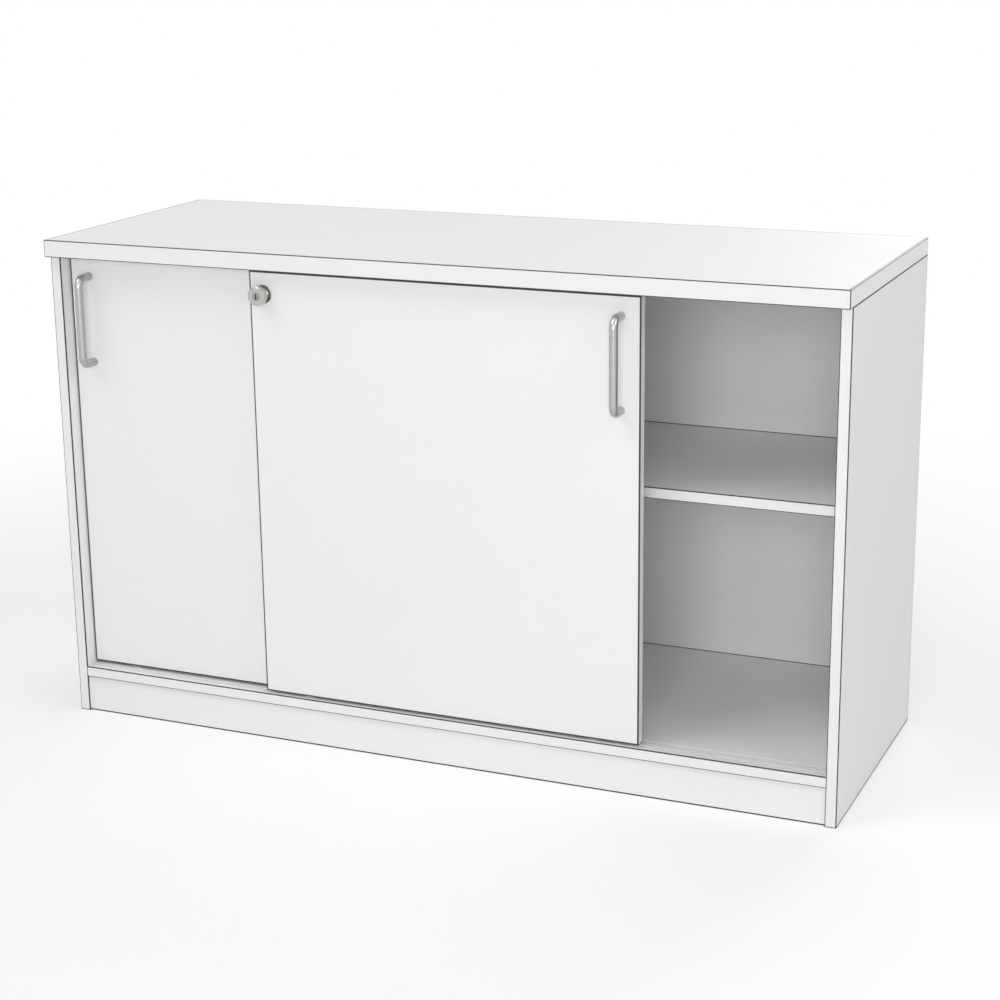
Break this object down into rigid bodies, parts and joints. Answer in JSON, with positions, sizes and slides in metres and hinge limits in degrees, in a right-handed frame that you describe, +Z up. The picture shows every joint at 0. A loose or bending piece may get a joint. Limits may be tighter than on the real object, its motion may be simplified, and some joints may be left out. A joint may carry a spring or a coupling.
{
  "type": "office credenza",
  "caption": "Low office credenza with two by-pass sliding doors, bow handles, a push lock, fixed shelves, a thick top and a recessed plinth.",
  "frame": {"origin": "on the floor, below the middle of the whole object's outline, door handles included", "axes": "+X along the length to the right as seen from the front, -Y towards the doors' side, +Z up"},
  "size_m": [1.2, 0.4544, 0.736],
  "materials": {
    "melamine_board": "matt white melamine on chipboard",
    "edge_band": "satin",
    "painted_hardboard": "white lacquered hardboard",
    "hardwood": "plain beech",
    "track_plastic": "satin",
    "fitting_plastic": "moulded",
    "roller_nylon": "moulded nylon",
    "stop_rubber": "matt",
    "handle_steel": "satin nickel",
    "lock_nickel": "nickel plated",
    "lock_plug_metal": "brushed"
  },
  "bodies": {
    "carcass": {"back_panel": "painted_hardboard", "bottom_panel": "melamine_board", "bottom_panel_edging": "edge_band", "centre_divider": "melamine_board", "divider_edging": "edge_band", "left_shelf": "melamine_board", "left_shelf_edging": "edge_band", "left_side_edging": "edge_band", "left_side_panel": "melamine_board", "loose_tongues": "hardwood", "lower_track": "track_plastic", "plinth_board": "melamine_board", "rear_plinth_board": "melamine_board", "right_shelf": "melamine_board", "right_shelf_edging": "edge_band", "right_side_edging": "edge_band", "right_side_panel": "melamine_board", "top_panel": "melamine_board", "top_panel_edging": "edge_band", "track_stops": "stop_rubber", "upper_track": "track_plastic"},
    "front_door": {"front_door_panel": "melamine_board", "front_door_edging": "edge_band", "front_door_handle": "handle_steel", "front_door_roller_housings": "fitting_plastic", "front_door_top_guides": "fitting_plastic", "lock_housing": "lock_nickel"},
    "rear_door": {"rear_door_panel": "melamine_board", "rear_door_edging": "edge_band", "rear_door_handle": "handle_steel", "rear_door_roller_housings": "fitting_plastic", "rear_door_top_guides": "fitting_plastic"},
    "front_door_left_roller": {"front_door_roller_left": "roller_nylon"},
    "front_door_right_roller": {"front_door_roller_right": "roller_nylon"},
    "rear_door_left_roller": {"rear_door_roller_left": "roller_nylon"},
    "rear_door_right_roller": {"rear_door_roller_right": "roller_nylon"},
    "lock_push_barrel": {"lock_barrel": "lock_nickel"},
    "lock_key_plug": {"lock_plug": "lock_plug_metal"}
  },
  "joints": [
    {"name": "front_door_slide", "type": "slide", "parent": "carcass", "child": "front_door", "axis": [1, 0, 0], "range_m": [0, 0.267]},
    {"name": "rear_door_slide", "type": "slide", "parent": "carcass", "child": "rear_door", "axis": [1, 0, 0], "range_m": [0, 0.267]},
    {"name": "front_door_left_roller_turn", "type": "hinge", "parent": "front_door", "child": "front_door_left_roller", "pos_m": [-0.201, -0.18425, 0.0785], "axis": [0, 1, 0], "range_deg": [-10, 1600]},
    {"name": "front_door_right_roller_turn", "type": "hinge", "parent": "front_door", "child": "front_door_right_roller", "pos_m": [0.246, -0.18425, 0.0785], "axis": [0, 1, 0], "range_deg": [-10, 1600]},
    {"name": "rear_door_left_roller_turn", "type": "hinge", "parent": "rear_door", "child": "rear_door_left_roller", "pos_m": [-0.513, -0.16625, 0.0785], "axis": [0, 1, 0], "range_deg": [-10, 1600]},
    {"name": "rear_door_right_roller_turn", "type": "hinge", "parent": "rear_door", "child": "rear_door_right_roller", "pos_m": [-0.066, -0.16625, 0.0785], "axis": [0, 1, 0], "range_deg": [-10, 1600]},
    {"name": "lock_push", "type": "slide", "parent": "front_door", "child": "lock_push_barrel", "axis": [0, 1, 0], "range_m": [0, 0.009], "stiffness_N_per_m": 400, "springref_m": -0.004},
    {"name": "key_turn", "type": "hinge", "parent": "lock_push_barrel", "child": "lock_key_plug", "pos_m": [-0.25, -0.2, 0.674], "axis": [0, 1, 0], "range_deg": [0, 90]}
  ],
  "couplings": [
    {"joint": "front_door_left_roller_turn", "follows": "front_door_slide", "rad_per_m": 100},
    {"joint": "front_door_right_roller_turn", "follows": "front_door_slide", "rad_per_m": 100},
    {"joint": "rear_door_left_roller_turn", "follows": "rear_door_slide", "rad_per_m": 100},
    {"joint": "rear_door_right_roller_turn", "follows": "rear_door_slide", "rad_per_m": 100}
  ]
}
